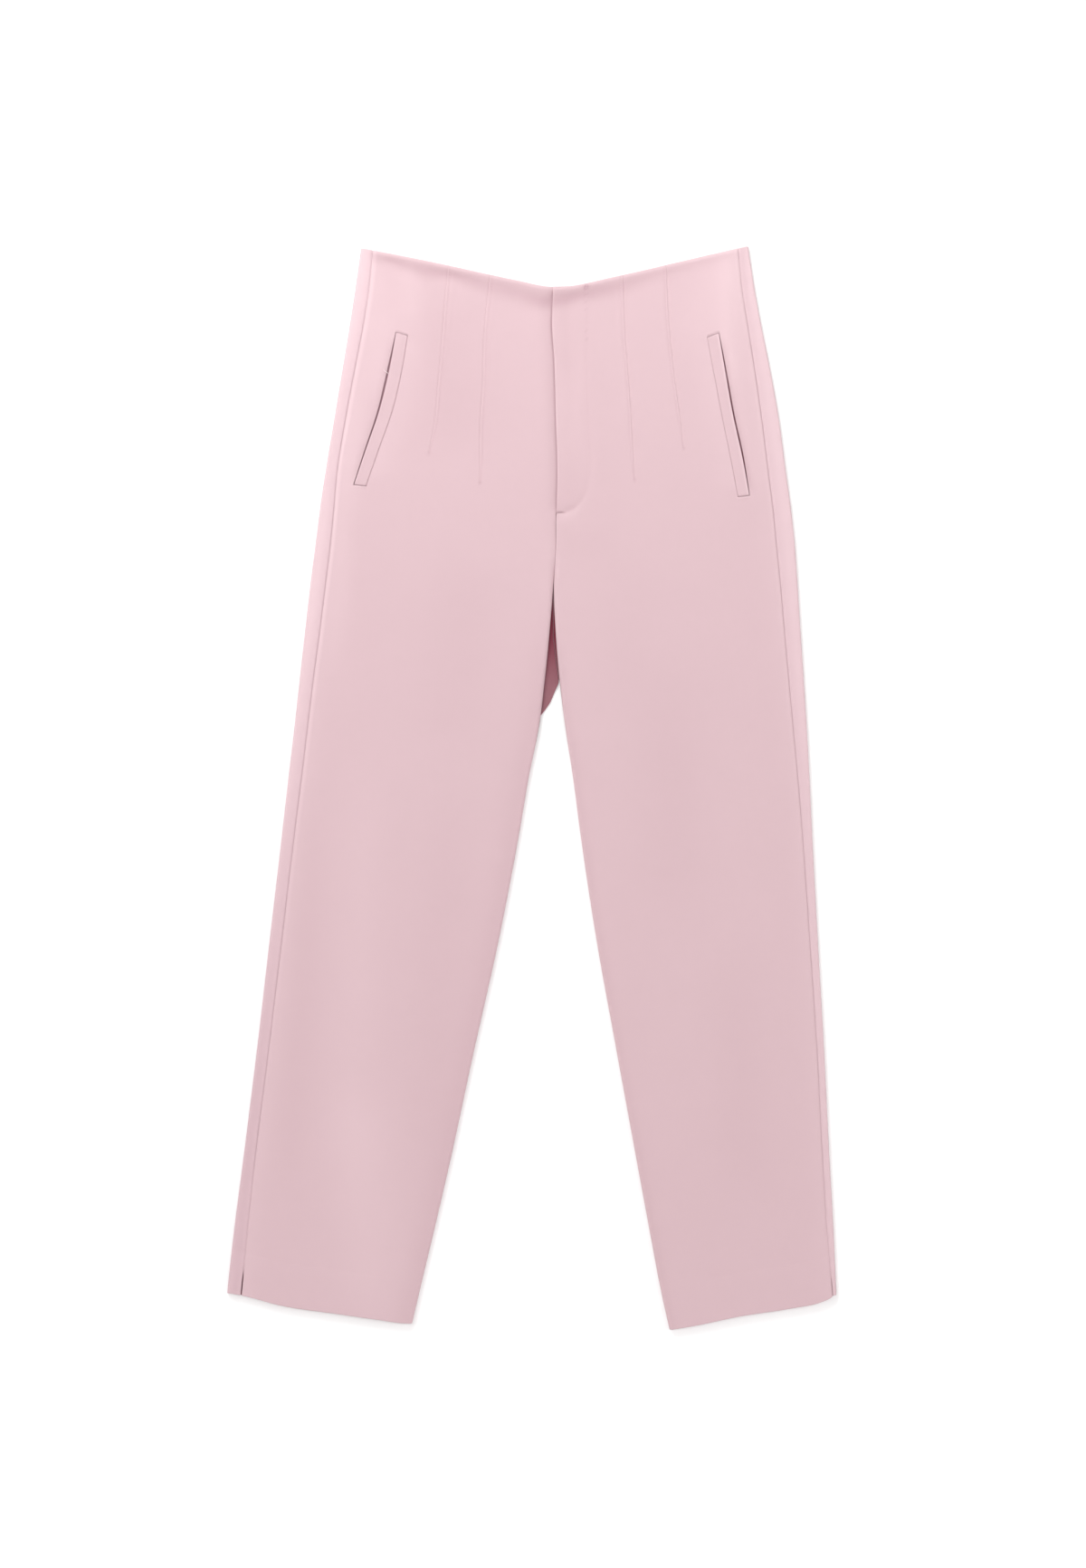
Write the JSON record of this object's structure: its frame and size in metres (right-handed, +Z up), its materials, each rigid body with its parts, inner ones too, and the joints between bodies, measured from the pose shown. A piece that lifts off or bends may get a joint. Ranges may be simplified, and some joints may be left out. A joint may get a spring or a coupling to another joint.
{
  "type": "carrot-fit trousers laid flat",
  "caption": "High-waisted tapered trousers with a fly, front darts, slanted welt pockets and side slits at the hems, laid flat and face up.",
  "frame": {"origin": "on the surface the trousers lie on, under the middle of their outline", "axes": "+Y from the hems to the waist, +X to the wearer's left, +Z up from the surface, with the fronts facing up"},
  "size_m": [0.5652, 1.0038, 0.0069],
  "materials": {
    "suiting": "matte fine plain-weave pink suiting with a soft drape",
    "pocketing": "plain thin pocketing, hidden",
    "zip_tape": "woven zip tape with a coil chain, hidden",
    "nickel": "satin nickel plate, hidden"
  },
  "bodies": {
    "root": {"front_left": "suiting", "front_right": "suiting", "back_left": "suiting", "back_right": "suiting", "pocket_welt_left": "suiting", "pocket_welt_right": "suiting", "pocket_bag_left": "pocketing", "pocket_bag_right": "pocketing", "fly_shield": "suiting", "fly_zip": "zip_tape", "zip_slider": "nickel", "waist_hook": "nickel", "waist_bar": "nickel"}
  },
  "joints": []
}
